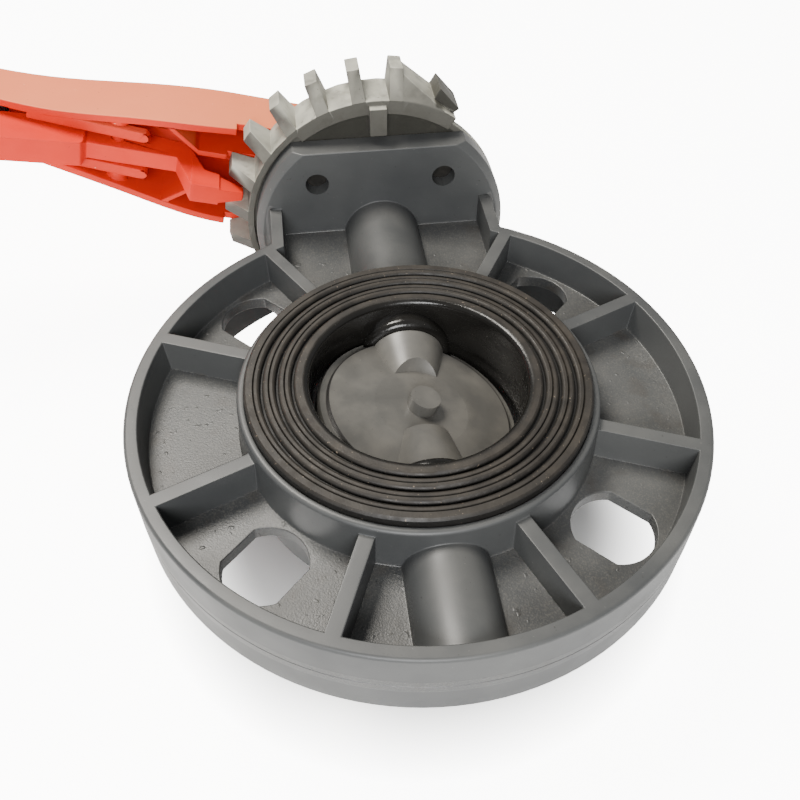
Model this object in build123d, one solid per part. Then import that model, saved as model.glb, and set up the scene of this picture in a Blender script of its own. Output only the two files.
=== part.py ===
from build123d import *
import math
import os

# Wafer butterfly valve with a lever handle, nominal size 65.
# Millimetres. Origin at the centre of the bore; Z is the pipe axis, Y the stem axis towards the lever.
# The valve is modelled standing open_angle away from closed.

# ---- pose ----
open_angle = 15.0  # lever and disc turned from the closed position
tooth_pitch = 15.0  # angle between neighbouring lever positions

# ---- body ----
body_d = 185.0  # outside diameter of the rim
rim_height = 29.2  # rim, measured along the pipe
rim_wall = 4.6  # rim thickness at its edge
rim_draft = 0.15  # taper of the rim from the parting line to its edge
pocket_draft = 0.9  # taper of the pocket walls down to the web
web_thickness = 4.6
hub_height = 35.8
rib_thickness = 4.7
rib_angles = [22.5, 157.5, 202.5, 247.5, 292.5, 337.5]
neck_rib_angle = 30.5  # the two ribs beside the neck, measured from the stem axis
parting_line = 0.25  # depth of the fine groove left at the parting line
edge_break = 0.8  # small bevel on the turned edges
boss_sink = 4.0  # how far the bosses and the neck floor run into the hub

# ---- bolt slots ----
slot_edge = 2.6  # floor left between a slot's round ends and the hub or the rim
slot_width = 21.4  # between the two flats
slot_angles = [45, 135, 225, 315]

# ---- neck and top flange ----
neck_length = 9.5  # from the rim to the flange face
neck_wall = 4.5
flange_lip = 6.5  # how far the flange reaches past the neck walls
flange_thickness = 10.0
flange_d = 101.0
flange_flat = 76.0  # across the two flats
flange_chamfer = 2.6
screw_circle_d = 70.0
screw_hole_d = 9.0
neck_boss_d = 30.0
lower_boss_d = 26.0

# ---- liner ----
bore_d = 69.0
liner_d = 109.6
liner_height = 41.8
liner_wall = 3.0  # rubber tube inside the backing ring
backing_wall = 2.3
backing_height = 27.0
hub_lip = 2.4  # wall of the hub outside the liner
lip_depth = 4.0  # how deep the liner lip sits in the hub
liner_fit = 0.1
mouth_round = 1.9  # rounding where the bore opens into the sealing face
groove_pitch = 4.85
first_groove = 5.1  # from the bore to the first groove
groove_depth = 1.6
groove_half = 0.35  # half width at the bottom of a groove
ridge_round = 0.95  # rounded shoulder beside a groove
line_half = 0.3
line_depth = 0.7
liner_edge = 0.8
stem_pad_d = 32.4  # raised collar round the stem hole inside the liner
stem_pad_height = 5.9  # how far the collar stands into the bore
stem_pad_round = 2.6

# ---- stem ----
stem_d = 14.0
stem_square = 11.0
square_margin = 4.0  # the square in the disc stops this far inside the collars
stem_low = 14.7  # how far the stem reaches past the hub at the closed end
thrust_pad = 1.9  # thickness of the disc under the stem
stem_rise = 19.0  # how far the stem stands past the back of the index plate
running = 0.05  # radial clearance of a turning fit
bush_wall = 2.0
upper_bush_length = 22.0
lower_bush_length = 12.0
seal_section = 1.9
seal_places = [6.7, 14.7]  # from the hub along the neck
lower_bush_gap = 2.0  # from the end of the stem to the lower bush
circlip_rim = 3.5  # how far the circlip stands out from the stem
circlip_thickness = 1.2
circlip_bite = 0.8  # depth of its groove
circlip_air = 0.3  # gap between the circlip and the flange

# ---- disc ----
disc_clearance = 0.3
disc_hub_half = 5.8  # half thickness of the flat middle
disc_flat_r = 16.0
disc_land_half = 3.1
disc_land_width = 3.2
disc_land_round = 0.7
disc_cone_half = 4.5
boss_inner_d = 19.0  # the disc's stem bosses at their inner ends
boss_outer_d = 26.8  # and where they meet the liner's collars
lower_boss_start = 10.8  # inner end of the lower boss, from the bore centre
dish_spread = 1.6  # the dished end of the upper boss leans out by this much
nub_d = 10.0
nub_top = 10.4

# ---- index plate ----
plate_thickness = 4.0
skirt_gap = 1.0  # between the flange and the skirt
plate_skirt_wall = 2.5
skirt_drop = 2.7  # how far the skirt reaches past the back of the flange
plate_depth = 15.0  # from the flange to the back edge of the skirt
skirt_from = 56.0
skirt_to = 250.0
lip_margin = 4.5  # how far the lip stops short of the flange corners, in degrees
lip_reach = 2.0  # how far the lip reaches in over the flange
plate_hole_d = 26.0
tooth_count = 8
first_tooth = 82.5  # angle of the stop tooth
tooth_width = 5.0
tooth_reach = 9.0  # beyond the skirt
tooth_slope = 8.2
key_width = 6.4
key_near = 5.5
key_gap = 3.0  # from the flange flat to the key
stop_sweep = 23.0  # angle taken by the slanted back of the stop tooth
lug_from = 53.0
lug_to = 67.0
lug_rise = 6.0  # beyond the skirt
lug_drop = 2.0  # how far behind the flange's back the lug starts

# ---- handle ----
# Heights are measured from the back of the index plate.
# Places along the lever are shares of its length beyond the tooth tips.
handle_air = 1.2  # gap between handle and index plate
handle_length = 226.0
handle_wall = 3.0
handle_web = 3.4
hub_outer_r = 24.0
hub_boss_r = 13.0
head_half = 22.6  # half width of the handle over the tooth tips
handle_half = [(0.074, 21.5), (0.227, 17.8), (0.411, 12.9), (0.534, 11.2), (0.779, 11.6)]
handle_near = [(0.104, -2.2), (0.227, 0.9), (0.411, 5.1), (0.534, 9.5), (0.779, 15.0)]
handle_far = [(0.0, 25.6), (0.227, 29.0), (0.534, 32.6), (0.779, 35.5)]
wall_start = 1.5  # the side walls start this far inside the tooth tip circle
wall_start_height = -3.0
head_far = 24.0
grip_end_near = 14.0
grip_end_far = 31.0
grip_end_round = 5.0
finger_tip = 0.19
finger_root = 0.472
finger_lift = 2.3  # height of the finger tips over the plate's back
finger_depth = 4.2
finger_inner = 6.2
finger_outer = 10.5
finger_air = 0.3  # gap between a finger and the pivot boss
guide_half = 8.2  # half the gap between the two guide ribs beside the tooth
guide_wall = 2.2
guide_height = -1.0
guide_throat = 12.0  # where the guides turn outwards, beyond the tooth tips
guide_mouth = 25.0  # where they meet the side walls

# ---- trigger ----
pivot_share = 0.264
pivot_height = 8.5
pin_d = 5.0
pin_boss_wall = 1.6
pin_blind = 1.2  # the pin bore stops this far under the outside of the handle
pin_air = 0.1
trigger_half = 3.5
grip_half = 5.2
block_half = 4.0
tooth_half = 3.2
tip_half = 1.8
spring_share = 0.546
spring_outer_d = 6.4
spring_wire = 1.0
spring_turns = 6.5
spring_dip = 2.0  # how far the rest length reaches into the trigger
spring_air = 0.5  # gap left under the handle's back wall
spring_pocket_air = 0.6
spring_pocket_half = 6.0
post_d = 3.6

# ---- fasteners ----
plate_screw_d = 8.0
plate_screw_head_d = 13.0
plate_washer_d = 16.0
plate_washer_thickness = 1.2
plate_screw_head = 3.6
plate_screw_end = 5.0  # the screw stops this far inside the flange face
screw_slot_half = 0.8
screw_slot_depth = 1.4
handle_screw_d = 6.0
handle_screw_head_d = 10.0
handle_screw_head = 4.0
washer_d = 18.0
washer_thickness = 1.6
cap_d = 25.0
cap_thickness = 2.4
cap_wall = 1.6
socket_across = 5.0  # hexagon socket of the handle screw
socket_depth = 2.2

# ---- derived ----
body_r = body_d / 2
rim_half = rim_height / 2
hub_d = liner_d + 2 * (liner_fit + hub_lip)
hub_half = hub_height / 2
web_half = web_thickness / 2
rim_inner_r = body_r - rim_wall
slot_length = rim_inner_r - hub_d / 2 - 2 * slot_edge
bolt_circle_r = (rim_inner_r + hub_d / 2) / 2
liner_half = liner_height / 2
liner_back_d = bore_d + 2 * liner_wall
liner_seat_d = liner_back_d + 2 * (backing_wall + 2 * liner_fit)
stem_pad_reach = bore_d / 2 - stem_pad_height
flange_near = body_r + neck_length
flange_back = flange_near + flange_thickness
neck_outer_half = flange_d / 2 - flange_lip
neck_inner_half = neck_outer_half - neck_wall
stem_low_end = hub_d / 2 + stem_low
bush_d = stem_d + 2 * bush_wall
circlip_d = stem_d + 2 * circlip_rim
circlip_groove_d = stem_d - 2 * circlip_bite
plate_near = flange_back - skirt_drop
plate_back = flange_back + plate_depth
stem_top = plate_back + stem_rise
skirt_r = flange_d / 2 + skirt_gap + plate_skirt_wall
tip_r = skirt_r + tooth_reach
handle_head_near = plate_back + handle_air
handle_top = plate_back + head_far
high = plate_back + 60  # past everything on the lever
well_floor = stem_top + 1.0  # the screw, washer and cap sit in a round well
rotor_turn = Rot(0, open_angle, 0)


def along(share):
    """Distance from the stem at a share of the lever's length beyond the tooth tips."""
    return tip_r + share * (handle_length - tip_r)


def height_on(stations, reach):
    """Value of a list of (share, value) stations at a distance from the stem."""
    for (s0, v0), (s1, v1) in zip(stations, stations[1:]):
        u0 = along(s0)
        u1 = along(s1)
        if u0 <= reach <= u1:
            return v0 + (v1 - v0) * (reach - u0) / (u1 - u0)
    return stations[-1][1]


def revolved(points):
    """Solid of revolution about Z from (radius, height) points."""
    profile = Polyline(*[(r, 0, z) for r, z in points], close=True)
    return revolve(make_face(profile), axis=Axis.Z, revolution_arc=360)


def rod(radius, y_from, y_to):
    """Cylinder along the stem axis."""
    shift = Pos(0, (y_from + y_to) / 2, 0) * Rot(90, 0, 0)
    return shift * Cylinder(radius, abs(y_to - y_from))


def slab(x0, x1, y0, y1, z0, z1):
    """Box given by its limits."""
    middle = Pos((x0 + x1) / 2, (y0 + y1) / 2, (z0 + z1) / 2)
    return middle * Box(abs(x1 - x0), abs(y1 - y0), abs(z1 - z0))


def side_prism(points, half):
    """Prism across the lever from (reach, y) points; the lever lies along -X."""
    outline = make_face(Polyline(*[(-u, y) for u, y in points], close=True))
    return extrude(outline, amount=half, both=True)


def stem_disc(points, y_from, y_to):
    """Plate square to the stem from (x, z) points."""
    outline = make_face(Polyline(*[(x, z) for x, z in points], close=True))
    raised = extrude(outline, amount=y_to - y_from)
    # sketch Y becomes world Z, so the extrusion runs towards -Y
    return Pos(0, y_to, 0) * Rot(90, 0, 0) * raised


def sector(r_in, r_out, deg_from, deg_to, y_from, y_to):
    """Part ring round the stem axis; angles run from +X towards +Z."""
    count = 24
    step = (deg_to - deg_from) / count
    outer = []
    inner = []
    for i in range(count + 1):
        a = math.radians(deg_from + i * step)
        outer.append((r_out * math.cos(a), r_out * math.sin(a)))
        inner.append((r_in * math.cos(a), r_in * math.sin(a)))
    return stem_disc(outer + inner[::-1], y_from, y_to)


def screw_places():
    """Centres of the four plate screws in X and Z."""
    offset = screw_circle_d / 2 * math.cos(math.radians(45))
    return [(sx * offset, sz * offset) for sx in (-1, 1) for sz in (-1, 1)]


# ---------------------------------------------------------------- body
def body_ring():
    """Rim, web and hub in one turned shape."""
    inner = rim_inner_r
    hub_r = hub_d / 2
    half = [
        (liner_seat_d / 2, hub_half),
        (hub_r - edge_break, hub_half),
        (hub_r, hub_half - edge_break),
        (hub_r + pocket_draft, web_half),
        (inner - pocket_draft, web_half),
        (inner, rim_half),
        (body_r - rim_draft - edge_break, rim_half),
        (body_r - rim_draft, rim_half - edge_break),
        (body_r, parting_line),
        (body_r - parting_line, 0),
    ]
    mirrored = [(r, -z) for r, z in half[-2::-1]]
    return revolved(half + mirrored)


def neck_opening(side):
    """Gap in the rim between the two neck walls, above or below the web."""
    y0 = rim_inner_r - neck_inner_half / 2
    return slab(-neck_inner_half, neck_inner_half, y0, flange_near, side * web_half, side * (hub_half + 1))


def rib(angle):
    """One radial rib between hub and rim."""
    inner = hub_d / 2 - 1
    outer = body_r - rim_wall / 2
    bar = slab(inner, outer, -rib_thickness / 2, rib_thickness / 2, -rim_half, rim_half)
    return Rot(0, 0, angle) * bar


def neck():
    """Side walls, web and top flange."""
    start = math.sqrt(body_r**2 - neck_outer_half**2) - rim_wall * 0.3
    walls = slab(-neck_outer_half, neck_outer_half, start, flange_near + 1, -rim_half, rim_half)
    walls -= slab(-neck_inner_half, neck_inner_half, start - 1, flange_near + 2, -hub_half, hub_half)
    wide = neck_inner_half + 1
    floor = slab(-wide, wide, hub_d / 2 - boss_sink, flange_near + 1, -web_half, web_half)
    plate = rod(flange_d / 2, flange_near, flange_back)
    plate = chamfer(plate.edges().filter_by(GeomType.CIRCLE).sort_by(Axis.Y)[0], flange_chamfer)
    for side in (-1, 1):
        flat = side * flange_flat / 2
        plate -= slab(-body_r, body_r, flange_near - 1, flange_back + 1, flat, side * flange_d)
    return walls + floor + plate


def slot_cut(angle):
    """Bolt slot: a round hole with two flats, long side along the radius."""
    hole = Cylinder(slot_length / 2, web_thickness * 2)
    hole &= slab(-slot_length, slot_length, -slot_width / 2, slot_width / 2, -web_thickness, web_thickness)
    return Rot(0, 0, angle) * Pos(bolt_circle_r, 0, 0) * hole


def make_body():
    shape = body_ring()
    for side in (-1, 1):
        shape -= neck_opening(side)
    for angle in rib_angles + [90 - neck_rib_angle, 90 + neck_rib_angle]:
        shape += rib(angle)
    shape += neck()
    shape += rod(neck_boss_d / 2, hub_d / 2 - boss_sink, flange_near + 1)
    shape += rod(lower_boss_d / 2, -(body_r - rim_wall / 2), -(hub_d / 2 - boss_sink))
    for angle in slot_angles:
        shape -= slot_cut(angle)
    shape -= rod(bush_d / 2, liner_seat_d / 2 - 2, flange_back + 1)
    shape -= rod(bush_d / 2, -(stem_low_end + running + thrust_pad), -(liner_seat_d / 2 - 2))
    for x, z in screw_places():
        shape -= Pos(x, 0, z) * rod(screw_hole_d / 2, flange_near - 1, flange_back + 1)
    seat_r = liner_d / 2 + liner_fit
    for side in (-1, 1):
        middle = side * (hub_half - lip_depth + hub_half + 1) / 2
        shape -= Pos(0, 0, middle) * Cylinder(seat_r, lip_depth + 1)
    return shape


# ---------------------------------------------------------------- liner
def shoulder(r, outwards):
    """Rounded step between the flat of a ridge and the groove at r, as an arc."""
    flat = (r - outwards * (groove_half + ridge_round), 0, liner_half)
    foot = (r - outwards * groove_half, 0, liner_half - groove_depth)
    bulge = (r - outwards * (groove_half + ridge_round * 0.29), 0, liner_half - groove_depth * 0.29)
    return ThreePointArc(flat, bulge, foot) if outwards > 0 else ThreePointArc(foot, bulge, flat)


def half_profile():
    """Upper half of the liner's section, from the bore round to the back of the tube."""
    top = liner_half
    bore_r = bore_d / 2
    lip_z = hub_half - lip_depth + liner_fit
    back_r = liner_back_d / 2
    run = 1 - math.cos(math.radians(45))
    edges = [Line((bore_r, 0, 0), (bore_r, 0, top - mouth_round))]
    middle = (bore_r + mouth_round * run, 0, top - mouth_round * run)
    edges.append(ThreePointArc((bore_r, 0, top - mouth_round), middle, (bore_r + mouth_round, 0, top)))
    flat_from = bore_r + mouth_round
    r = bore_r + first_groove
    while r < liner_d / 2 - groove_pitch / 2:
        edges.append(Line((flat_from, 0, top), (r - groove_half - ridge_round, 0, top)))
        edges.append(shoulder(r, 1))
        floor = top - groove_depth
        edges.append(Line((r - groove_half, 0, floor), (r + groove_half, 0, floor)))
        edges.append(shoulder(r, -1))
        line = r + groove_pitch / 2
        flat_to = r + groove_half + ridge_round
        notch = [(flat_to, top), (line - line_half, top), (line, top - line_depth), (line + line_half, top)]
        edges.append(Polyline(*[(x, 0, z) for x, z in notch]))
        flat_from = line + line_half
        r += groove_pitch
    outline = [(flat_from, top), (liner_d / 2 - liner_edge, top), (liner_d / 2, top - liner_edge)]
    outline += [(liner_d / 2, lip_z), (back_r, lip_z), (back_r, 0), (bore_r, 0)]
    edges.append(Polyline(*[(x, 0, z) for x, z in outline]))
    return Wire([edge for part in edges for edge in part.edges()])


def make_liner():
    back_r = liner_back_d / 2
    upper = revolve(make_face(half_profile()), axis=Axis.Z, revolution_arc=360)
    shape = upper + mirror(upper, about=Plane.XY)
    for side in (-1, 1):
        pad = rod(stem_pad_d / 2, side * stem_pad_reach, side * liner_back_d / 2)
        inner_edge = pad.edges().filter_by(GeomType.CIRCLE).sort_by(Axis.Y)[0 if side > 0 else -1]
        shape += fillet(inner_edge, stem_pad_round) & Cylinder(back_r, liner_seat_d)
    shape -= rod(stem_d / 2 + running, -liner_d / 2, liner_d / 2)
    return shape


def make_backing_ring():
    """Rigid ring between the rubber tube and the body bore."""
    shape = Cylinder(liner_seat_d / 2 - liner_fit, backing_height)
    shape -= Cylinder(liner_back_d / 2 + liner_fit, backing_height)
    shape -= rod(bush_d / 2, -liner_d / 2, liner_d / 2)
    return shape


# ---------------------------------------------------------------- stem and its small parts
def stem_section(size):
    """Square across the stem with corners trimmed to the round."""
    return slab(-size / 2, size / 2, -stem_low_end, stem_top, -size / 2, size / 2)


def make_stem():
    round_bar = rod(stem_d / 2, -stem_low_end, stem_top)
    shape = rod(stem_d / 2, -stem_low_end, flange_back + plate_thickness)
    square_to = stem_pad_reach - square_margin
    shape -= rod(stem_d, -square_to, square_to)
    shape += round_bar & stem_section(stem_square)
    groove_y = flange_back + circlip_air
    ring = rod(stem_d, groove_y, groove_y + circlip_thickness)
    shape -= ring - rod(circlip_groove_d / 2, groove_y, groove_y + circlip_thickness)
    shape -= rod(handle_screw_d / 2 + running, stem_top - 14, stem_top + 1)
    return rotor_turn * shape


def make_circlip():
    """Open ring in the stem groove; the gap faces the flow axis."""
    y0 = flange_back + circlip_air
    y1 = y0 + circlip_thickness
    shape = rod(circlip_d / 2, y0, y1) - rod(circlip_groove_d / 2 + running, y0, y1)
    shape -= slab(-2.2, 2.2, y0 - 1, y1 + 1, 0, circlip_d)
    return rotor_turn * shape


def bush(y_from, y_to):
    return rod(bush_d / 2, y_from, y_to) - rod(stem_d / 2 + running, y_from, y_to)


def make_upper_bush():
    return bush(flange_back - upper_bush_length, flange_back)


def make_lower_bush():
    low = -stem_low_end + lower_bush_gap
    return bush(low, low + lower_bush_length)


def make_thrust_pad():
    """Low-friction disc that carries the end of the stem in its blind bore."""
    low = -(stem_low_end + running + thrust_pad)
    return rod(bush_d / 2 - running, low, low + thrust_pad)


def make_stem_seals():
    """Rubber rings between stem and neck bore."""
    minor = seal_section / 2
    major = stem_d / 2 + running + minor
    rings = [Pos(0, hub_d / 2 + place, 0) * Rot(90, 0, 0) * Torus(major, minor) for place in seal_places]
    return Compound(children=rings)


# ---------------------------------------------------------------- disc
def stem_boss(side):
    """Tapered boss of the disc round the stem, before its upper end is dished."""
    start = lower_boss_start if side < 0 else disc_flat_r - dish_spread
    end = stem_pad_reach - disc_clearance
    profile = [(0, start), (boss_inner_d / 2, start), (boss_outer_d / 2, end), (0, end)]
    face = make_face(Polyline(*[(r, side * y, 0) for r, y in profile], close=True))
    return revolve(face, axis=Axis.Y, revolution_arc=360)


def dish():
    """Shallow cone round the nub that hollows the inner end of the upper boss."""
    top = boss_inner_d
    spread = dish_spread * (top - disc_hub_half) / (boss_inner_d / 2 - disc_hub_half)
    rim = disc_flat_r + spread
    return revolved([(0, disc_hub_half), (disc_flat_r, disc_hub_half), (rim, top), (0, top)])


def make_disc():
    r = bore_d / 2 - disc_clearance
    land_in = r - disc_land_width
    half = [
        (0, disc_hub_half),
        (disc_flat_r, disc_hub_half),
        (land_in, disc_cone_half),
        (land_in, disc_land_half),
        (r - disc_land_round, disc_land_half),
        (r - 0.05, disc_land_half / 2),
    ]
    mirrored = [(a, -z) for a, z in half[::-1]]
    shape = revolved(half + mirrored)
    boss_end = stem_pad_reach - disc_clearance
    clear = stem_pad_d / 2 + disc_clearance
    for side in (-1, 1):
        shape -= rod(clear, side * boss_end, side * bore_d)
    upper = stem_boss(1) - dish() - mirror(dish(), about=Plane.XY)
    shape += upper
    shape += stem_boss(-1)
    shape += Pos(0, 0, nub_top / 2) * Cylinder(nub_d / 2, nub_top)
    hole = rod(stem_d / 2 + running, -bore_d, bore_d)
    square_to = stem_pad_reach - square_margin
    hole -= rod(bore_d, -square_to, square_to)
    hole += rod(stem_d / 2, -bore_d, bore_d) & stem_section(stem_square + 2 * running)
    shape -= hole
    return rotor_turn * shape


# ---------------------------------------------------------------- index plate
def tooth_section():
    """Outline of a tooth beyond the skirt, cut back on the side facing the body."""
    outline = [
        (skirt_r - 1, plate_near),
        (skirt_r, plate_near),
        (tip_r, plate_near + tooth_slope),
        (tip_r, plate_back),
        (skirt_r - 1, plate_back),
    ]
    return make_face(Polyline(*outline, close=True))


def tooth_bar(angle):
    """One radial tooth."""
    return Rot(0, -angle, 0) * extrude(tooth_section(), amount=tooth_width / 2, both=True)


def stop_wedge():
    """Slanted back of the stop tooth, with the same cut-back face as the teeth."""
    ring = revolve(tooth_section(), axis=Axis.Y, revolution_arc=360)
    outline = [
        polar(skirt_r - 1, first_tooth),
        polar(tip_r, first_tooth),
        polar(skirt_r, first_tooth - stop_sweep),
        polar(skirt_r - 1, first_tooth - stop_sweep + 1),
    ]
    return stem_disc(outline, plate_near, plate_back) & ring


def polar(radius, degrees):
    a = math.radians(degrees)
    return radius * math.cos(a), radius * math.sin(a)


def make_index_plate():
    floor_back = flange_back + plate_thickness
    shape = rod(flange_d / 2, flange_back, floor_back)
    skirt_in = skirt_r - plate_skirt_wall
    shape += sector(flange_d / 2 - 2, skirt_r, skirt_from, skirt_to, flange_back, floor_back)
    shape += sector(skirt_in, skirt_r, skirt_from, skirt_to, plate_near, plate_back)
    corner = math.degrees(math.asin(flange_flat / flange_d)) + lip_margin
    lip_r = flange_d / 2 - lip_reach
    shape += sector(lip_r, skirt_r, max(corner, skirt_from), 180 - corner, plate_near, flange_back)
    for i in range(tooth_count):
        shape += tooth_bar(first_tooth + i * tooth_pitch)
    shape += stop_wedge()
    lug = [
        polar(skirt_r - 1.5, lug_to),
        polar(skirt_r + lug_rise, lug_to - 1),
        polar(skirt_r + lug_rise / 3, lug_from + 2),
        polar(skirt_r - 1.5, lug_from + 4),
    ]
    shape += stem_disc(lug, flange_back + lug_drop, plate_back)
    key_low = flange_flat / 2 + key_gap
    key_half = key_width / 2
    shape += slab(-key_half, key_half, flange_back - key_near, flange_back + 1, key_low, skirt_r - 2)
    shape -= rod(plate_hole_d / 2, flange_back - 1, plate_back)
    for x, z in screw_places():
        shape -= Pos(x, 0, z) * rod(plate_screw_d / 2 + 0.2, flange_back - 1, plate_back)
    return shape


def make_plate_screws():
    """Four screws holding the index plate on the flange."""
    seat = flange_back + plate_thickness + plate_washer_thickness
    screws = []
    for x, z in screw_places():
        shank = rod(plate_screw_d / 2, flange_near + plate_screw_end, seat + 0.5)
        head = rod(plate_screw_head_d / 2, seat, seat + plate_screw_head)
        top = seat + plate_screw_head
        wide = plate_screw_head_d
        head -= slab(-wide, wide, top - screw_slot_depth, top + 1, -screw_slot_half, screw_slot_half)
        screws.append(Pos(x, 0, z) * (shank + head))
    return Compound(children=screws)


def make_plate_washers():
    """One washer under each plate screw."""
    y0 = flange_back + plate_thickness
    y1 = y0 + plate_washer_thickness
    ring = rod(plate_washer_d / 2, y0, y1) - rod(plate_screw_d / 2 + 0.2, y0, y1)
    return Compound(children=[Pos(x, 0, z) * ring for x, z in screw_places()])


# ---------------------------------------------------------------- handle
def plan_wire(inset):
    """Outline of the handle square to the stem, with smooth sides and a rounded end."""
    sides = [(tip_r, head_half - inset)] + [(along(share), half - inset) for share, half in handle_half]
    end = handle_length - inset
    corner = handle_half[-1][1] - inset
    sides.append((end - grip_end_round, corner))
    upper = Spline(*[(-u, w) for u, w in sides])
    lower = Spline(*[(-u, -w) for u, w in sides])
    head = sides[0][1]
    hub_r = hub_outer_r - inset
    hub = Polyline((-tip_r, head), (0, hub_r), (0, -hub_r), (-tip_r, -head))
    tip = ThreePointArc((grip_end_round - end, corner), (-end, 0), (grip_end_round - end, -corner))
    return Wire(upper.edges() + lower.edges() + hub.edges() + tip.edges())


def plan_prism(inset):
    """Prism of the handle's plan, from below its head to past its back."""
    drop = plate_back - 40
    raised = extrude(make_face(plan_wire(inset)), amount=high - drop)
    return Pos(0, high, 0) * Rot(90, 0, 0) * raised + rod(hub_outer_r - inset, drop, high)


def side_wire(inset_near, inset_far):
    """Near and far edges of the handle as seen from the side."""
    head = handle_head_near - inset_near
    start = tip_r - wall_start
    near = [(start, wall_start_height)] + [(along(share), y) for share, y in handle_near]
    near.append((handle_length + 1, grip_end_near))
    far = [(along(share), y) for share, y in handle_far] + [(handle_length + 1, grip_end_far)]
    near_edge = Spline(*[(-u, plate_back + y - inset_near) for u, y in near])
    far_edge = Spline(*[(-u, plate_back + y - inset_far) for u, y in far])
    top = handle_top - inset_far
    far_start = plate_back + far[0][1] - inset_far
    near_start = plate_back + wall_start_height - inset_near
    back = Polyline((hub_outer_r, head), (hub_outer_r, top), (0, top), (-far[0][0], far_start))
    step = Polyline((hub_outer_r, head), (-start, head), (-start, near_start))
    tip = Line(near_edge @ 1, far_edge @ 1)
    return Wire(near_edge.edges() + far_edge.edges() + back.edges() + step.edges() + tip.edges())


def handle_envelope(inset, near, far):
    side = extrude(make_face(side_wire(near, far)), amount=hub_outer_r + 5, both=True)
    return plan_prism(inset) & side


def finger(side):
    """Springy finger alongside the trigger; it leaves the wall's near edge at its root."""
    tip = along(finger_tip)
    root = along(finger_root)
    tip_y = plate_back + finger_lift
    root_y = plate_back + height_on(handle_near, root)
    outline = [(tip, tip_y), (root, root_y), (root, root_y + finger_depth), (tip, tip_y + finger_depth)]
    half = (finger_outer - finger_inner) / 2
    middle = side * (finger_outer + finger_inner) / 2
    plan = slab(-root, -tip - half, plate_back, high, middle - half, middle + half)
    plan += Pos(-tip - half, 0, middle) * rod(half, plate_back, high)
    return side_prism(outline, finger_outer) & plan


def guide(side):
    """Rib beside the trigger's tooth: from the boss past the teeth, then out to the side wall."""
    half = guide_wall / 2
    line = [(hub_boss_r - 4, guide_half), (tip_r + guide_throat, guide_half)]
    mouth = tip_r + guide_mouth
    mouth_half = height_on([(0, head_half)] + handle_half, mouth) - handle_wall / 2
    line.append((mouth, mouth_half))
    outline = [(-u, side * (w - half)) for u, w in line]
    outline += [(-u, side * (w + half)) for u, w in line[::-1]]
    bar = stem_disc(outline, plate_back + guide_height, handle_top - 1)
    return bar - rod(tip_r + wall_start, plate_back - 10, handle_head_near + 1)


def make_handle():
    shape = handle_envelope(0, 0, 0)
    shape -= handle_envelope(handle_wall, 60, handle_web)
    shape += rod(hub_boss_r, handle_head_near, handle_top - 1)
    for side in (-1, 1):
        shape += finger(side)
        shape += guide(side) & plan_prism(handle_wall / 2)
    shape -= rod(cap_d / 2 + running, well_floor, handle_top + 20)
    hole = stem_square / 2 + running
    shape -= slab(-hole, hole, handle_head_near - 1, well_floor + 1, -hole, hole)
    half_wall = handle_wall / 2
    clear = finger_outer + finger_air
    bosses = pivot_rod(pin_d / 2 + pin_boss_wall, 2 * hub_outer_r)
    bosses &= handle_envelope(half_wall, 0, half_wall)
    bosses -= slab(-handle_length, 0, 0, high, -clear, clear)
    shape += bosses
    shape -= pivot_rod(pin_d / 2 + running, pin_span())
    post = Pos(-along(spring_share), 0, 0) * rod(post_d / 2, spring_top() - 5, spring_top() + 2)
    shape += post
    return rotor_turn * shape


def pivot_rod(radius, length):
    """Cylinder across the lever, round the trigger's pivot."""
    return Pos(-along(pivot_share), plate_back + pivot_height, 0) * Cylinder(radius, length)


def pin_span():
    """Length of the pivot bore: blind at both ends inside the walls."""
    return 2 * (height_on(handle_half, along(pivot_share)) - pin_blind)


def spring_top():
    """Height of the handle's back wall over the spring."""
    return plate_back + height_on(handle_far, along(spring_share)) - handle_web


# ---------------------------------------------------------------- trigger
trigger_back = [(0.337, 14.5), (0.515, 12.0), (0.718, 5.5), (0.877, -2.0)]
trigger_near = [(0.865, -14.4), (0.515, -7.0), (0.345, -2.6)]
# the hook round the tooth, as distance beyond the tooth tips and height over the plate's back
hook_near = [(20, 0.9), (14, -17), (3, -17), (-6.5, -14.8)]
hook_back = [(-6.5, -11), (3, -7.5), (9, -5.5), (16, 12), (33, 15)]
hook_end = 6.5  # the hook reaches this far inside the tooth tip circle
block_start = 3.0  # the wider block behind the tooth, from and to, beyond the tooth tips
block_end = 14.0
side_step = 0.1  # the sides change width within this length
grip_waist = 1.5  # the grip narrows by this much over its last few millimetres
raised_end = 0.335  # the slimmer middle part ends here
raised_height = 1.3  # its near side there, over the plate's back
grip_end_low = -13.0  # lowest point of the grip's end


def trigger_side():
    """Outline of the trigger as seen from the side."""
    outline = [(along(trigger_back[-1][0]), grip_end_low)]
    outline += [(along(share), y) for share, y in trigger_near]
    outline.append((along(raised_end), raised_height))
    outline += [(tip_r + u, y) for u, y in hook_near + hook_back]
    outline += [(along(share), y) for share, y in trigger_back]
    return [(u, plate_back + y) for u, y in outline]


def trigger_plan():
    """Half widths along the trigger, turned into an outline."""
    near_block = tip_r + block_start
    far_block = tip_r + block_end
    waist = along(trigger_near[0][0])
    end = along(trigger_back[-1][0])
    steps = [(tip_r - hook_end, tip_half), (near_block, tooth_half)]
    steps += [(near_block + side_step, block_half), (far_block, block_half)]
    steps.append((far_block + side_step, trigger_half))
    steps += [(along(raised_end), trigger_half), (along(raised_end) + 1, grip_half)]
    steps += [(waist, grip_half), (end, grip_half - grip_waist)]
    upper = [(-u, w) for u, w in steps]
    return upper + [(x, -z) for x, z in upper[::-1]]


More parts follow.
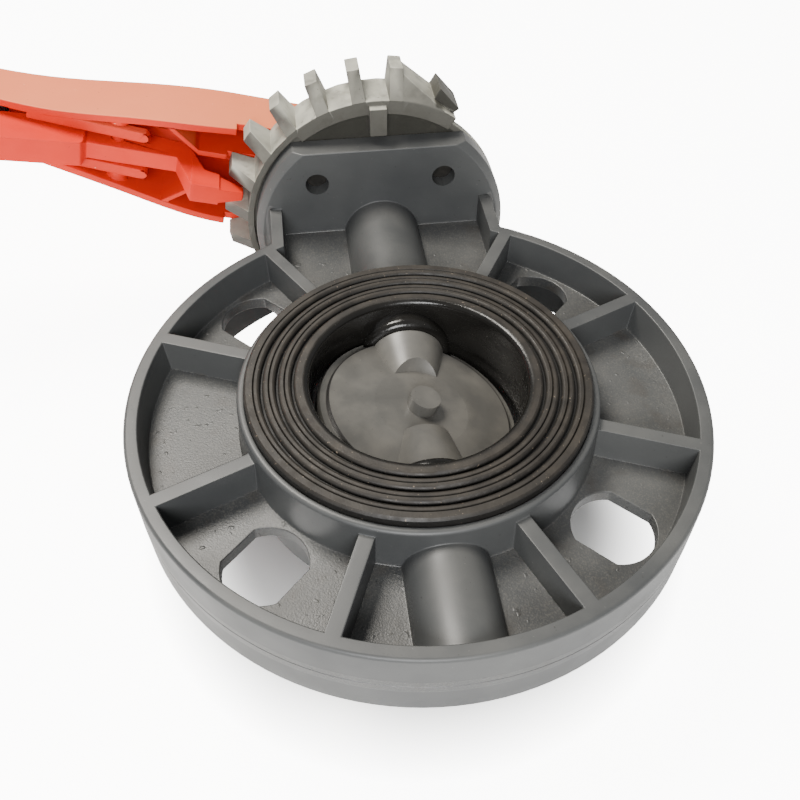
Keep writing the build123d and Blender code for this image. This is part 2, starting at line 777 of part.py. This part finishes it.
def make_trigger():
    shape = side_prism(trigger_side(), 2 * grip_half) & stem_disc(trigger_plan(), plate_back - 40, high)
    shape -= pivot_rod(pin_d / 2 + running, 4 * grip_half)
    pocket_half = spring_outer_d / 2 + spring_pocket_air
    middle = -along(spring_share)
    floor = plate_back - 2
    shape -= slab(
        middle - spring_pocket_half, middle + spring_pocket_half, floor, high, -pocket_half, pocket_half
    )
    return rotor_turn * shape


def make_trigger_pin():
    return rotor_turn * pivot_rod(pin_d / 2, pin_span() - 2 * pin_air)


def make_trigger_spring():
    """Coil spring between the handle and the trigger grip."""
    low = plate_back + height_on(trigger_back, along(spring_share)) - spring_dip
    length = spring_top() - spring_air - low - spring_wire
    path = Helix(pitch=length / spring_turns, height=length, radius=(spring_outer_d - spring_wire) / 2)
    section = Plane(origin=path @ 0, z_dir=path % 0) * Circle(spring_wire / 2)
    coil = sweep(section, path=path)
    placed = Pos(-along(spring_share), low + length + spring_wire / 2, 0) * Rot(90, 0, 0) * coil
    return rotor_turn * placed


# ---------------------------------------------------------------- handle fixings
def make_handle_washer():
    y0 = well_floor
    shape = rod(washer_d / 2, y0, y0 + washer_thickness)
    shape -= rod(handle_screw_d / 2 + 0.3, y0, y0 + washer_thickness)
    return rotor_turn * shape


def make_handle_screw():
    seat = well_floor + washer_thickness
    shape = rod(handle_screw_d / 2, stem_top - 12, seat + 0.5)
    shape += rod(handle_screw_head_d / 2, seat, seat + handle_screw_head)
    socket = extrude(RegularPolygon(socket_across / 2, 6, major_radius=False), amount=socket_depth + 0.1)
    top = seat + handle_screw_head
    shape -= Pos(0, top + 0.1, 0) * Rot(90, 0, 0) * socket
    return rotor_turn * shape


def make_handle_cap():
    """Push-in cover over the screw."""
    y0 = well_floor + washer_thickness + handle_screw_head + 0.5
    shape = rod(cap_d / 2, y0, y0 + cap_thickness)
    shape += rod(cap_d / 2, well_floor, y0) - rod(cap_d / 2 - cap_wall, well_floor, y0)
    return rotor_turn * chamfer(shape.edges().filter_by(GeomType.CIRCLE).sort_by(Axis.Y)[-1], 0.8)


parts = {
    "body": make_body,
    "liner": make_liner,
    "liner_backing_ring": make_backing_ring,
    "stem": make_stem,
    "stem_circlip": make_circlip,
    "stem_bush_upper": make_upper_bush,
    "stem_bush_lower": make_lower_bush,
    "stem_seals": make_stem_seals,
    "stem_thrust_pad": make_thrust_pad,
    "disc": make_disc,
    "index_plate": make_index_plate,
    "plate_screws": make_plate_screws,
    "plate_washers": make_plate_washers,
    "handle": make_handle,
    "handle_washer": make_handle_washer,
    "handle_screw": make_handle_screw,
    "handle_cap": make_handle_cap,
    "trigger": make_trigger,
    "trigger_pin": make_trigger_pin,
    "trigger_spring": make_trigger_spring,
}

os.makedirs("parts", exist_ok=True)
for name, make in parts.items():
    export_step(make(), "parts/" + name + ".step")
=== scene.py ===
import math

import bmesh
import bpy
from mathutils import Matrix, Vector


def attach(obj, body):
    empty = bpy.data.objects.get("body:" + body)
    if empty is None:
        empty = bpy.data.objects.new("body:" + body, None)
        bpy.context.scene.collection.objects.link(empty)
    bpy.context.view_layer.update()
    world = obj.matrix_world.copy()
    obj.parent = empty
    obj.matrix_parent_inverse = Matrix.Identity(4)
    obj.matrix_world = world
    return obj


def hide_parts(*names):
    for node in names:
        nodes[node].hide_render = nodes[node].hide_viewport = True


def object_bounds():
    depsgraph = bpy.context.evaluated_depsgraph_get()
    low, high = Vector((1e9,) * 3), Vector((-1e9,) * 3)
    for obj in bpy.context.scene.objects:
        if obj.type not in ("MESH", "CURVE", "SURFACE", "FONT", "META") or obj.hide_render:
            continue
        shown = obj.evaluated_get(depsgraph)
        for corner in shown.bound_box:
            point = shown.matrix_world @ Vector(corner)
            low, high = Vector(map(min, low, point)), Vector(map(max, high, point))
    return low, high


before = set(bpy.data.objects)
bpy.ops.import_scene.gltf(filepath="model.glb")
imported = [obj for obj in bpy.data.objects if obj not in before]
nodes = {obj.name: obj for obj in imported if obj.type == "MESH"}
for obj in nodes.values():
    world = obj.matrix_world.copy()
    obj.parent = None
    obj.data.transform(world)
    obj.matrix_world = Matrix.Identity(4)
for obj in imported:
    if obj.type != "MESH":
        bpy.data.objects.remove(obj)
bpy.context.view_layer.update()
MM = 0.001

# places on the object, for dirt, painted light and shade, and for edges that stay sharp
LEVER_ANGLE = math.radians(15)  # the lever and disc stand this far from closed
WEB_FLOOR = 3.2 * MM  # the sanded floors between the ribs lie within this height
BORE_EDGE_R = 35.6 * MM  # the liner's face starts outside its bore here
CREST_LOW = 20.0 * MM  # the liner's ridges gather dust above this height
CREST_HIGH = 20.9 * MM
DISC_STEP_R = 31.1 * MM  # painted shade lines the step beside the disc's rim
LIP_R = 48.5 * MM  # inner edge of the index plate's lip
LIP_Y = 110.0 * MM  # painted shade darkens the plate inside its lip above this place on the stem
LUG_X = 21.5 * MM  # the index plate is darker beyond this, round its lug
SKIRT_R = 54.2 * MM  # outside of the index plate between its teeth
LEVER_SIDE = 10.2 * MM  # painted light from above pales the lever beyond this, on its outer upper side
PARTING_R = 91.5 * MM  # the body's parting line lies outside this
PARTING_Z = 0.6 * MM  # and within this of the middle plane
STEM_BORE_R = 9.6 * MM  # the body's bores for the stem lie within this
SEAT_R = 54.0 * MM  # the body's seat for the liner lies within this
SCREW_HOLE = 24.75 * MM  # of the flange's screw holes from the stem, both ways
SCREW_ROOM = 5.0 * MM  # half a square round a screw hole
FLANGE_Y = 100.0 * MM  # the screw holes lie above this place on the stem

# rounded edges
WELD = 0.002 * MM  # corners closer than this are one
FLAT = math.radians(0.05)  # faces within this angle are one flat face
SHARP = math.radians(34)  # an edge that turns more than this is rounded
ALONG = 0.77  # a rounding slides along edges that meet its own at a cosine below this
ROOM_SHARE = 0.45  # of the shortest of those edges that it may take
LEAST_SHARE = 0.2  # a rounding smaller than this share is left out

# floor and camera
FLOOR_GLOW = 0.75  # light that the floor gives off outside the shade
FLOOR_SEEN = 9.0  # extra brightness of that floor, seen by the camera only
SHADE_R = 0.062  # the floor is shaded within this radius
CLEAR_R = 0.1  # and bare outside this one
FLOOR_HALF = 2.5  # half the floor's side
FLOOR_DROP = 0.5 * MM  # gap between the object and the floor
SENSOR = 36  # width, mm
FOCAL = 854.77 / 800  # focal length as a share of the picture's width


# ---------------------------------------------------------------- shader helpers
class Finish:
    """A material under construction: short calls that add and join its nodes."""

    def __init__(self, name, specular=0.5, metallic=0.0, coat=0.0, coat_roughness=0.2):
        self.material = bpy.data.materials.new(name)
        self.material.use_nodes = True
        self.tree = self.material.node_tree
        self.shader = self.tree.nodes["Principled BSDF"]
        self.shader.inputs["Specular IOR Level"].default_value = specular
        self.shader.inputs["Metallic"].default_value = metallic
        self.shader.inputs["Coat Weight"].default_value = coat
        self.shader.inputs["Coat Roughness"].default_value = coat_roughness
        self.coords = self.tree.nodes.new("ShaderNodeTexCoord").outputs["Object"]

    def add(self, kind, values=None, links=None, **options):
        """A new node with its socket values, incoming links and settings."""
        node = self.tree.nodes.new(kind)
        for key, value in options.items():
            setattr(node, key, value)
        for key, value in (values or {}).items():
            node.inputs[key].default_value = value
        for key, source in (links or {}).items():
            self.tree.links.new(source, node.inputs[key])
        return node

    def noise(self, size, detail=4.0, stretch=(1, 1, 1), distortion=0.0):
        """Noise whose features measure about size metres."""
        mapping = self.add("ShaderNodeMapping", {"Scale": stretch}, {"Vector": self.coords})
        values = {"Scale": 1 / size, "Detail": detail, "Distortion": distortion}
        links = {"Vector": mapping.outputs["Vector"]}
        return self.add("ShaderNodeTexNoise", values, links).outputs["Fac"]

    def ramp(self, source, low, high, start=0.0, end=1.0):
        """Source mapped from low..high to start..end, held at both ends."""
        values = {"From Min": low, "From Max": high, "To Min": start, "To Max": end}
        return self.add("ShaderNodeMapRange", values, {"Value": source}).outputs["Result"]

    def math(self, kind, first, second=None, value=None):
        """Arithmetic on one output, or on it and a second output or plain value."""
        node = self.add("ShaderNodeMath", operation=kind)
        self.tree.links.new(first, node.inputs[0])
        if second is not None:
            self.tree.links.new(second, node.inputs[1])
        if value is not None:
            node.inputs[1].default_value = value
        return node.outputs["Value"]

    def split(self, vector):
        """The three parts of a vector output."""
        parts = self.add("ShaderNodeSeparateXYZ", links={"Vector": vector})
        return parts.outputs["X"], parts.outputs["Y"], parts.outputs["Z"]

    def axes(self):
        """The object's own X, Y and Z, in metres."""
        return self.split(self.coords)

    def lever_axes(self):
        """Axes of the lever and disc as they are modelled, turned LEVER_ANGLE about the stem."""
        values = {"Rotation": (0, -LEVER_ANGLE, 0)}
        turned = self.add("ShaderNodeMapping", values, {"Vector": self.coords})
        return self.split(turned.outputs["Vector"])

    def distance(self, first, second):
        """Distance from the axis that is square to both."""
        squares = [self.math("MULTIPLY", axis, axis) for axis in (first, second)]
        return self.math("SQRT", self.math("ADD", *squares))

    def facing(self):
        """Components of the surface normal."""
        return self.split(self.add("ShaderNodeNewGeometry").outputs["Normal"])

    def mix(self, amount, first, second):
        """Two colours mixed; either may be a plain colour or an output."""
        node = self.add("ShaderNodeMix", data_type="RGBA")
        self.tree.links.new(amount, node.inputs["Factor"])
        for socket, colour in ((node.inputs[6], first), (node.inputs[7], second)):
            if isinstance(colour, tuple):
                socket.default_value = (*colour, 1)
            else:
                self.tree.links.new(colour, socket)
        return node.outputs[2]

    def cover(self, amount, share, tone, colour):
        """Tone with a colour over it, at most by share."""
        return self.mix(self.math("MULTIPLY", amount, value=share), tone, colour)

    def relief(self, height, strength, depth, under=None):
        """A bumped normal from a height, on top of the normal under it."""
        links = {"Height": height}
        if under is not None:
            links["Normal"] = under
        values = {"Strength": strength, "Distance": depth}
        return self.add("ShaderNodeBump", values, links).outputs["Normal"]

    def specks(self, size, level):
        """Small separate dots of dirt or wear, where the noise rises above a level."""
        return self.ramp(self.noise(size, 2.0), level, level + 0.05)

    def finish(self, colour, roughness, normal):
        """Join the three outputs to the shader and hand over the material."""
        for key, source in (("Base Color", colour), ("Roughness", roughness), ("Normal", normal)):
            self.tree.links.new(source, self.shader.inputs[key])
        return self.material


# ---------------------------------------------------------------- finishes
def make_body_plastic():
    """Grey moulded plastic: smooth walls, and sanded floors between the ribs with dust, dirt
    and small blisters."""
    f = Finish("body_plastic", specular=0.5)
    up = f.facing()[2]
    height = f.math("ABSOLUTE", f.axes()[2])
    floor = f.ramp(height, WEB_FLOOR, WEB_FLOOR - 0.6 * MM)
    cloud = f.ramp(f.noise(0.05), 0.35, 0.68)
    tone = f.mix(cloud, (0.042, 0.044, 0.045), (0.064, 0.066, 0.065))
    worn = f.math("MULTIPLY", f.ramp(up, 0.6, 0.98), f.ramp(f.noise(0.02, 6), 0.38, 0.68))
    tone = f.cover(worn, 0.5, tone, (0.105, 0.104, 0.098))
    sand = f.noise(0.5 * MM, 3)
    grit = f.math("MULTIPLY", f.ramp(sand, 0.5, 0.68), floor)
    tone = f.cover(grit, 0.5, tone, (0.125, 0.119, 0.106))
    dirt = f.math("MULTIPLY", f.ramp(f.noise(0.009, 7, distortion=0.4), 0.54, 0.72), floor)
    tone = f.cover(dirt, 0.5, tone, (0.05, 0.043, 0.036))
    tone = f.cover(f.specks(1.1 * MM, 0.72), 0.6, tone, (0.02, 0.019, 0.018))
    tone = f.cover(f.specks(0.8 * MM, 0.75), 0.5, tone, (0.3, 0.29, 0.26))
    smoother = f.math("MULTIPLY", floor, value=-0.05)
    rough = f.math("ADD", f.ramp(f.noise(0.02, 5), 0.3, 0.7, 0.38, 0.52), smoother)
    blisters = f.math("MULTIPLY", f.ramp(f.noise(2.6 * MM, 1), 0.68, 0.78), floor)
    fine = f.relief(f.noise(0.3 * MM, 2), 0.06, 0.1 * MM)
    bumps = f.relief(blisters, 0.5, 0.3 * MM, fine)
    return f.finish(tone, rough, f.relief(f.math("MULTIPLY", sand, floor), 0.5, 0.15 * MM, bumps))


def make_liner_rubber():
    """Black rubber: glossy in the bore, dull and brown with dust on the ridged faces."""
    f = Finish("liner_rubber", specular=0.35)
    x, y, z = f.axes()
    radius = f.distance(x, y)
    outside = f.ramp(radius, BORE_EDGE_R, BORE_EDGE_R + 1.4 * MM)
    height = f.math("ABSOLUTE", z)
    crest = f.math("MULTIPLY", f.ramp(height, CREST_LOW, CREST_HIGH), outside)
    cloud = f.ramp(f.noise(0.02), 0.3, 0.7)
    rubber = f.mix(cloud, (0.0055, 0.0052, 0.0046), (0.0095, 0.0088, 0.0078))
    mottle = f.ramp(f.noise(0.006, 6), 0.35, 0.7)
    dust = f.mix(mottle, (0.021, 0.0175, 0.014), (0.043, 0.036, 0.028))
    patches = f.ramp(f.noise(0.015, 4), 0.2, 0.75, 0.4, 1.0)
    tone = f.mix(f.math("MULTIPLY", crest, patches), rubber, dust)
    tone = f.mix(f.math("MULTIPLY", f.specks(0.9 * MM, 0.7), outside), tone, (0.15, 0.12, 0.09))
    tone = f.cover(f.specks(0.7 * MM, 0.74), 0.5, tone, (0.2, 0.19, 0.17))
    smear = f.ramp(f.noise(0.009, 6, (1, 1, 2.5)), 0.35, 0.75, 0.12, 0.42)
    rough = f.mix(outside, smear, f.ramp(f.noise(0.004, 5), 0.3, 0.7, 0.42, 0.66))
    grain = f.relief(f.noise(0.6 * MM, 3), 0.3, 0.15 * MM)
    waves = f.relief(f.noise(0.011, 2, (1, 1, 0.5)), 0.25, 0.5 * MM, grain)
    return f.finish(tone, rough, waves)


def make_disc_plastic():
    """Smooth grey plastic, faintly marbled, with a dull dusty bloom and painted shade in its
    step.
    """
    f = Finish("disc_plastic", specular=0.5, coat=0.1, coat_roughness=0.25)
    marble = f.ramp(f.noise(0.022, 5, distortion=0.6), 0.35, 0.68)
    tone = f.mix(marble, (0.072, 0.07, 0.064), (0.105, 0.101, 0.091))
    bloom = f.ramp(f.noise(0.01, 7), 0.46, 0.72)
    tone = f.cover(bloom, 0.4, tone, (0.16, 0.15, 0.13))
    tone = f.cover(f.specks(0.9 * MM, 0.72), 0.7, tone, (0.035, 0.031, 0.027))
    tone = f.cover(f.specks(0.7 * MM, 0.75), 0.5, tone, (0.3, 0.28, 0.25))
    x, y, _ = f.lever_axes()
    # painted shade: a dark, broken line along the step beside the disc's rim
    off_corner = f.math("ABSOLUTE", f.math("SUBTRACT", f.distance(x, y), value=DISC_STEP_R))
    uneven = f.ramp(f.noise(0.02, 3), 0.2, 0.5, 0.8, 1.0)
    corner = f.math("MULTIPLY", f.ramp(off_corner, 0.5 * MM, 0.3 * MM), uneven)
    tone = f.mix(corner, tone, (0.008, 0.007, 0.006))
    rough = f.ramp(f.noise(0.008, 5), 0.3, 0.7, 0.3, 0.44)
    return f.finish(tone, rough, f.relief(f.noise(0.35 * MM, 2), 0.05, 0.1 * MM))


def make_plate_plastic():
    """Grey plastic with painted light from above on its upward faces, painted shade on those
    facing the body and inside its lip, and darker round its lug."""
    f = Finish("plate_plastic", specular=0.4)
    x, y, z = f.axes()
    up = f.facing()[2]
    cloud = f.ramp(f.noise(0.012, 5), 0.35, 0.68)
    tone = f.mix(cloud, (0.085, 0.083, 0.076), (0.13, 0.126, 0.112))
    patches = f.ramp(f.noise(0.009, 5), 0.3, 0.62, 0.55, 1.0)
    # painted light from above: upward faces much paler, in patches
    painted_top_light = f.math("MULTIPLY", f.ramp(up, 0.1, 0.8), patches)
    tone = f.cover(painted_top_light, 0.85, tone, (0.47, 0.46, 0.385))
    # painted shade: faces turned towards the body are darker
    body_side_shade = f.ramp(f.facing()[1], -0.4, -0.8)
    tone = f.cover(body_side_shade, 0.8, tone, (0.07, 0.067, 0.056))
    # painted shade inside the lip, on faces turned towards the body
    inside = f.ramp(f.distance(x, z), LIP_R, LIP_R - 0.4 * MM)
    lip_shade = f.math("MULTIPLY", inside, body_side_shade)
    lip_shade = f.math("MULTIPLY", lip_shade, f.ramp(y, LIP_Y, LIP_Y + 1 * MM))
    tone = f.mix(lip_shade, tone, (0.022, 0.021, 0.016))
    grime = f.ramp(f.noise(0.005, 6, distortion=0.3), 0.53, 0.7)
    tone = f.cover(grime, 0.35, tone, (0.05, 0.046, 0.038))
    # round the lug the plate is darker, more so higher up
    beyond = f.ramp(f.distance(x, z), SKIRT_R, SKIRT_R + 0.5 * MM)
    lug = f.math("MULTIPLY", f.ramp(x, LUG_X, LUG_X + 1 * MM), beyond)
    lug = f.math("MULTIPLY", lug, f.ramp(z, 0, 10 * MM, 0.0, 0.85))
    tone = f.mix(lug, tone, (0.02, 0.019, 0.014))
    tone = f.cover(f.specks(1.0 * MM, 0.73), 0.7, tone, (0.02, 0.018, 0.015))
    rough = f.ramp(f.noise(0.006, 5), 0.3, 0.7, 0.45, 0.66)
    return f.finish(tone, rough, f.relief(f.noise(0.6 * MM, 4), 0.22, 0.15 * MM))


def make_red_plastic(name, deep, bright, top_lit, top_light_share):
    """Red moulded plastic with small scuffs, and painted light from above on the lever's outer
    upper side.
    """
    f = Finish(name, specular=0.25)
    up = f.facing()[2]
    tone = f.mix(f.ramp(f.noise(0.03, 4), 0.35, 0.68), deep, bright)
    # painted light from above: the lever's upward faces on its outer upper side turn paler
    outer = f.ramp(f.lever_axes()[2], LEVER_SIDE, LEVER_SIDE + 0.8 * MM)
    patches = f.ramp(f.noise(0.05, 3), 0.25, 0.7, 0.82, 1.0)
    top_light = f.math("MULTIPLY", f.math("MULTIPLY", f.ramp(up, 0.35, 0.9), patches), outer)
    tone = f.cover(top_light, top_light_share, tone, top_lit)
    tone = f.cover(f.specks(1.6 * MM, 0.75), 0.6, tone, (0.95, 0.6, 0.42))
    tone = f.cover(f.specks(1.1 * MM, 0.74), 0.6, tone, (0.22, 0.02, 0.012))
    rough = f.ramp(f.noise(0.01, 5), 0.3, 0.7, 0.42, 0.58)
    return f.finish(tone, rough, f.relief(f.noise(0.5 * MM, 3), 0.08, 0.12 * MM))


def make_plain_grain(name, low, high, rough, metallic=0.0):
    """Small pieces: two close tones, uneven sheen and a fine grain."""
    f = Finish(name, metallic=metallic)
    tone = f.mix(f.ramp(f.noise(0.004, 5), 0.35, 0.68), low, high)
    uneven = f.ramp(f.noise(0.003, 4), 0.3, 0.7, rough - 0.06, rough + 0.08)
    return f.finish(tone, uneven, f.relief(f.noise(0.5 * MM, 3), 0.1, 0.1 * MM))


def make_turned_steel():
    """Bright steel with fine turning marks round the stem."""
    f = Finish("turned_steel", metallic=1.0)
    marks = f.noise(0.0012, 4, (0.4, 6, 0.4))
    tone = f.mix(f.ramp(marks, 0.3, 0.7), (0.36, 0.36, 0.35), (0.52, 0.51, 0.49))
    rough = f.ramp(f.noise(0.004, 4), 0.3, 0.7, 0.26, 0.42)
    return f.finish(tone, rough, f.relief(marks, 0.12, 0.08 * MM))


body_plastic = make_body_plastic()
liner_rubber = make_liner_rubber()
disc_plastic = make_disc_plastic()
plate_plastic = make_plate_plastic()
# each red: deep and bright tones, then the colour and share of its painted light from above
handle_plastic = make_red_plastic(
    "handle_plastic", (0.6, 0.022, 0.006), (0.7, 0.034, 0.01), (0.84, 0.24, 0.1), 0.9
)
trigger_plastic = make_red_plastic(
    "trigger_plastic", (0.66, 0.022, 0.007), (0.76, 0.034, 0.011), (0.8, 0.13, 0.05), 0.15
)
cap_plastic = make_red_plastic(
    "cap_plastic", (0.5, 0.02, 0.008), (0.6, 0.03, 0.011), (0.78, 0.2, 0.09), 0.4
)
turned_steel = make_turned_steel()
dark_screws = make_plain_grain(
    "dark_screws", (0.02, 0.019, 0.017), (0.045, 0.041, 0.036), 0.6, metallic=0.7
)
black_spring = make_plain_grain("black_spring", (0.01, 0.01, 0.01), (0.022, 0.022, 0.02), 0.4)
bush_plastic = make_plain_grain("bush_plastic", (0.52, 0.51, 0.46), (0.64, 0.62, 0.57), 0.5)
seal_rubber = make_plain_grain("seal_rubber", (0.012, 0.012, 0.011), (0.02, 0.02, 0.018), 0.55)
backing_plastic = make_plain_grain(
    "backing_plastic", (0.03, 0.03, 0.028), (0.05, 0.05, 0.046), 0.6
)


# ---------------------------------------------------------------- pieces with rounded edges
def open_mesh(node):
    """A copy of a CAD node's mesh, welded, with its flat faces merged and those of more than
    four corners cut into triangles again."""
    bm = bmesh.new()
    bm.from_mesh(nodes[node].data)
    bmesh.ops.remove_doubles(bm, verts=bm.verts, dist=WELD)
    bmesh.ops.dissolve_limit(bm, angle_limit=FLAT, verts=bm.verts, edges=bm.edges)
    wide = [face for face in bm.faces if len(face.verts) > 4]
    bmesh.ops.triangulate(bm, faces=wide, quad_method="BEAUTY", ngon_method="BEAUTY")
    return bm


def add_piece(node, material, body):
    """A new piece that stands in for a CAD node, not yet rounded."""
    name = node + "_moulding"
    bm = open_mesh(node)
    mesh = bpy.data.meshes.new(name)
    for face in bm.faces:
        face.smooth = True
    bm.to_mesh(mesh)
    bm.free()
    mesh.materials.append(material)
    piece = bpy.data.objects.new(name, mesh)
    bpy.context.scene.collection.objects.link(piece)
    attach(piece, body)
    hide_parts(node)
    return piece


def cross_room(edge):
    """Length of the shortest edge that a bevel of this edge would slide along."""
    along = (edge.verts[1].co - edge.verts[0].co).normalized()
    room = math.inf
    for vert in edge.verts:
        for other in vert.link_edges:
            reach = other.verts[1].co - other.verts[0].co
            if other is not edge and abs(reach.normalized().dot(along)) < ALONG:
                room = min(room, reach.length)
    return room


def round_edges(piece, width, wanted):
    """Bevel the sharp edges where there is room; wanted(edge), if given, can leave one sharp."""
    mesh = piece.data
    bm = bmesh.new()
    bm.from_mesh(mesh)
    weights = bm.edges.layers.float.new("bevel_weight_edge")
    for edge in bm.edges:
        if len(edge.link_faces) != 2 or edge.calc_face_angle(0) < SHARP:
            continue
        share = min(1.0, ROOM_SHARE * cross_room(edge) / width)
        if share > LEAST_SHARE and (wanted is None or wanted(edge)):
            edge[weights] = share
        else:
            edge.smooth = False
    bm.to_mesh(mesh)
    bm.free()
    bevel = piece.modifiers.new("rounded_edges", "BEVEL")
    bevel.limit_method = "WEIGHT"
    bevel.width = width
    bevel.segments = 2
    bevel.use_clamp_overlap = False
    flat = piece.modifiers.new("flat_faces", "WEIGHTED_NORMAL")
    flat.keep_sharp = True


def body_edge(edge):
    """Every edge of the body but the parting line, those of the stem's bores and the liner's
    seat, and those of the flange's screw holes."""
    spot = (edge.verts[0].co + edge.verts[1].co) / 2
    on_parting = abs(spot.z) < PARTING_Z and math.hypot(spot.x, spot.y) > PARTING_R
    in_bore = math.hypot(spot.x, spot.z) < STEM_BORE_R
    in_seat = math.hypot(spot.x, spot.y) < SEAT_R
    aside = max(abs(abs(spot.x) - SCREW_HOLE), abs(abs(spot.z) - SCREW_HOLE))
    at_screw = aside < SCREW_ROOM and spot.y > FLANGE_Y
    return not (on_parting or in_bore or in_seat or at_screw)


# node: the body it rides, material, slot, width of its rounding in mm, which edges
rounded = {
    "body": ("valve_body", body_plastic, "body_plastic", 0.42, body_edge),
    "index_plate": ("valve_body", plate_plastic, "plate_plastic", 0.35, None),
    "handle": ("rotor", handle_plastic, "handle_plastic", 0.5, None),
    "trigger": ("trigger", trigger_plastic, "trigger_plastic", 0.5, None),
    "handle_cap": ("rotor", cap_plastic, "cap_plastic", 0.3, None),
}
for node, (body, material, slot, width, wanted) in rounded.items():
    round_edges(add_piece(node, material, body), width * MM, wanted)


# the other nodes show their CAD mesh
painted = {
    "liner": liner_rubber,
    "disc": disc_plastic,
    "liner_backing_ring": backing_plastic,
    "stem_seals": seal_rubber,
    "trigger_spring": black_spring,
    "stem_bush_upper": bush_plastic,
    "stem_bush_lower": bush_plastic,
    "stem_thrust_pad": bush_plastic,
    "trigger_pin": cap_plastic,
    "stem": turned_steel,
    "stem_circlip": turned_steel,
    "handle_washer": turned_steel,
    "handle_screw": turned_steel,
    "plate_screws": dark_screws,
    "plate_washers": dark_screws,
}
for node, material in painted.items():
    mesh = nodes[node].data
    mesh.materials.clear()
    mesh.materials.append(material)


# ---------------------------------------------------------------- floor, light, camera
def make_floor_white():
    """White card that glows, except for a painted shade under the valve."""
    f = Finish("floor_white", specular=0.1)
    x, y, _ = f.axes()
    edge = f.ramp(f.distance(x, y), SHADE_R, CLEAR_R)
    far = f.math("MULTIPLY", edge, edge)
    seen = f.add("ShaderNodeLightPath").outputs["Is Camera Ray"]
    extra = f.math("MULTIPLY", f.math("MULTIPLY", seen, far), value=FLOOR_SEEN)
    glow = f.math("ADD", f.math("MULTIPLY", far, value=FLOOR_GLOW), extra)
    f.tree.links.new(glow, f.shader.inputs["Emission Strength"])
    f.shader.inputs["Emission Color"].default_value = (1, 1, 0.985, 1)
    tone = f.mix(f.noise(0.4), (0.9, 0.895, 0.88), (0.92, 0.915, 0.9))
    rough = f.ramp(f.noise(0.1), 0, 1, 0.85, 0.95)
    return f.finish(tone, rough, f.relief(f.noise(0.002), 0.02, 0.05 * MM))


def make_floor():
    bm = bmesh.new()
    bmesh.ops.create_grid(bm, x_segments=1, y_segments=1, size=FLOOR_HALF)
    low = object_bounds()[0][2]
    bmesh.ops.translate(bm, verts=bm.verts, vec=(0, 0, low - FLOOR_DROP))
    mesh = bpy.data.meshes.new("floor")
    bm.to_mesh(mesh)
    bm.free()
    floor = bpy.data.objects.new("floor", mesh)
    bpy.context.scene.collection.objects.link(floor)
    mesh.materials.append(make_floor_white())


def area_light(name, place, aim, size, watts, colour):
    """A round lamp, facing the point it aims at."""
    data = bpy.data.lights.new(name, "AREA")
    data.shape = "DISK"
    data.size = size
    data.energy = watts
    data.color = colour
    lamp = bpy.data.objects.new(name, data)
    bpy.context.scene.collection.objects.link(lamp)
    lamp.location = place
    lamp.rotation_euler = (Vector(aim) - Vector(place)).to_track_quat("-Z", "Y").to_euler()


def make_world():
    world = bpy.data.worlds.new("studio")
    bpy.context.scene.world = world
    world.use_nodes = True
    back = world.node_tree.nodes["Background"]
    back.inputs["Color"].default_value = (0.97, 0.985, 1, 1)
    back.inputs["Strength"].default_value = 0.4


def make_camera():
    data = bpy.data.cameras.new("camera")
    data.sensor_width = SENSOR
    data.lens = SENSOR * FOCAL
    data.clip_start = 0.01
    camera = bpy.data.objects.new("camera", data)
    bpy.context.scene.collection.objects.link(camera)
    ahead = Vector((0.0916, 0.6637, -0.7424)).normalized()
    right = Vector((0.9914, -0.1307, 0.0055)).normalized()
    up = right.cross(ahead).normalized()
    right = ahead.cross(up)
    turn = Matrix((right, up, -ahead)).transposed().to_4x4()
    camera.matrix_world = Matrix.Translation((-0.0311, -0.1833, 0.2148)) @ turn
    bpy.context.scene.camera = camera


make_floor()
make_world()
area_light(
    "overhead",
    place=(-0.3, 0.35, 0.8),
    aim=(0, 0.02, 0),
    size=0.4,
    watts=13.5,
    colour=(1, 0.955, 0.88),
)
area_light(
    "front_fill",
    place=(-0.15, -0.85, 0.5),
    aim=(0, 0, 0),
    size=0.5,
    watts=14,
    colour=(1, 1, 1),
)
make_camera()
